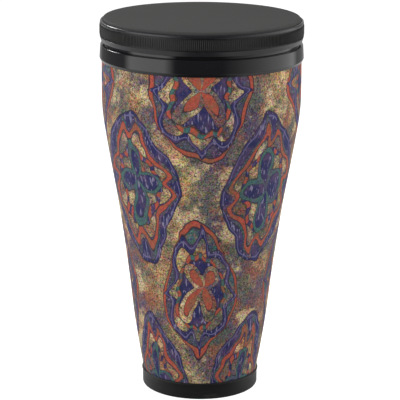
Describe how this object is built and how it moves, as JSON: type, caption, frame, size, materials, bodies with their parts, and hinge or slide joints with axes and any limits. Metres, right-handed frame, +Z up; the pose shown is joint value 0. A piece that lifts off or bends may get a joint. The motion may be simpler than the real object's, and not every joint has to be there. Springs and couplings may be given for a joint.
{
  "type": "tapered hand drum",
  "caption": "Tapered floor-standing hand drum with a fabric-wrapped shell, a rubber foot ring and a black head held by a quick-thread lock ring.",
  "frame": {"origin": "centre of the foot ring's underside, on the floor", "axes": "+Z up along the drum's axis, from the foot to the playing surface; -Y is the side that the picture shows"},
  "size_m": [0.3252, 0.3252, 0.61],
  "materials": {
    "shell_fibre": "dark wood-fibre composite, unpainted inside",
    "printed_fabric": "matte woven fabric with a many-coloured print",
    "foot_rubber": "satin black rubber",
    "collar_plastic": "gloss black",
    "adhesive": "cured amber adhesive",
    "head_film": "satin dark grey polyester film",
    "hoop_aluminium": "plain extruded",
    "hoop_resin": "cured clear resin",
    "washer_nylon": "natural nylon",
    "ring_plastic": "satin gloss black",
    "grip_rubber": "matte ribbed black rubber"
  },
  "bodies": {
    "drum_body": {"shell_cone": "shell_fibre", "shell_crown": "shell_fibre", "fabric_wrap": "printed_fabric", "foot_ring": "foot_rubber", "collar": "collar_plastic", "collar_adhesive": "adhesive"},
    "head": {"head_film": "head_film", "head_hoop": "hoop_aluminium", "hoop_resin": "hoop_resin", "slip_washer": "washer_nylon"},
    "lock_ring": {"lock_ring": "ring_plastic", "grip_sleeve": "grip_rubber"}
  },
  "joints": [
    {"name": "head_lift", "type": "slide", "parent": "drum_body", "child": "head", "axis": [0, 0, 1], "range_m": [0, 0.0409]},
    {"name": "ring_turn", "type": "hinge", "parent": "head", "child": "lock_ring", "pos_m": [0, 0, 0.585], "axis": [0, 0, 1], "range_deg": [0, 350]}
  ],
  "couplings": [
    {"joint": "head_lift", "follows": "ring_turn", "m_per_rad": 0.0066845}
  ]
}
